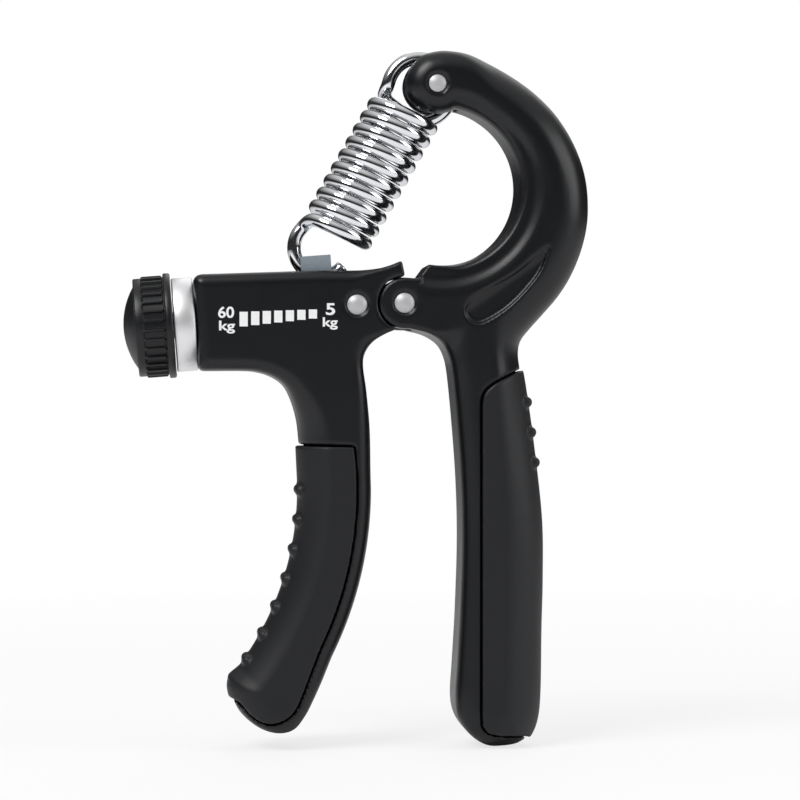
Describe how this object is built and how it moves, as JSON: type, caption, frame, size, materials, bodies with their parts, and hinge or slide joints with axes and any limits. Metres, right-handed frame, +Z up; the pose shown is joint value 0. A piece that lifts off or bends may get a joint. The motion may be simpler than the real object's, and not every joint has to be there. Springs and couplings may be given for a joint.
{
  "type": "hand grip strengthener",
  "caption": "Adjustable hand grip strengthener: palm frame with curved arm, hinged finger lever, tension spring and a screw-set force carriage with ribbed knob",
  "frame": {"origin": "middle of the palm handle's core on the middle plane, where the palm holds it", "axes": "+Z up along the palm handle towards the curved arm, +X away from the finger lever, +Y from the front cheek to the back cheek"},
  "size_m": [0.1066, 0.0242, 0.1598],
  "materials": {
    "body_plastic": "satin moulded black plastic",
    "grip_rubber": "matte black moulded rubber",
    "pin_steel": "satin domed pin ends",
    "washer_nylon": "natural nylon",
    "bush_brass": "turned brass",
    "sleeve_chrome": "polished bright metal",
    "screw_steel": "zinc-plated steel",
    "knob_plastic": "satin ribbed black plastic",
    "carriage_zinc": "blue-grey plated zinc",
    "spring_chrome": "bright chromed spring wire"
  },
  "bodies": {
    "frame": {"frame": "body_plastic", "palm_grip": "grip_rubber", "pivot_pin": "pin_steel", "tip_pin": "pin_steel", "pivot_washers": "washer_nylon", "spring": "spring_chrome"},
    "lever": {"lever": "body_plastic", "finger_grip": "grip_rubber", "pivot_bush": "bush_brass", "bearing_pin": "pin_steel", "end_plug": "bush_brass", "inner_block": "bush_brass", "end_sleeve": "sleeve_chrome"},
    "adjuster": {"adjust_screw": "screw_steel", "retaining_clip": "screw_steel", "thrust_washer": "washer_nylon", "knob": "knob_plastic", "knob_cap": "knob_plastic", "knob_screw": "screw_steel"},
    "carriage": {"carriage": "carriage_zinc", "lead_nut": "bush_brass"}
  },
  "joints": [
    {"name": "squeeze", "type": "hinge", "parent": "frame", "child": "lever", "pos_m": [-0.0227, 0, 0.0588], "axis": [0, -1, 0], "range_deg": [-6.5, 16], "stiffness_Nm_per_rad": 1.2, "springref_deg": -6.47, "deforming": ["spring"]},
    {"name": "knob_turn", "type": "hinge", "parent": "lever", "child": "adjuster", "pos_m": [-0.0227, 0, 0.0578], "axis": [-0.9972, 0, -0.075], "range_deg": [0, 4140.5]},
    {"name": "carriage_slide", "type": "slide", "parent": "lever", "child": "carriage", "axis": [-0.9972, 0, -0.075], "range_m": [0, 0.01725], "deforming": ["spring"]}
  ],
  "couplings": [
    {"joint": "knob_turn", "follows": "carriage_slide", "rad_per_m": 4188.8}
  ]
}
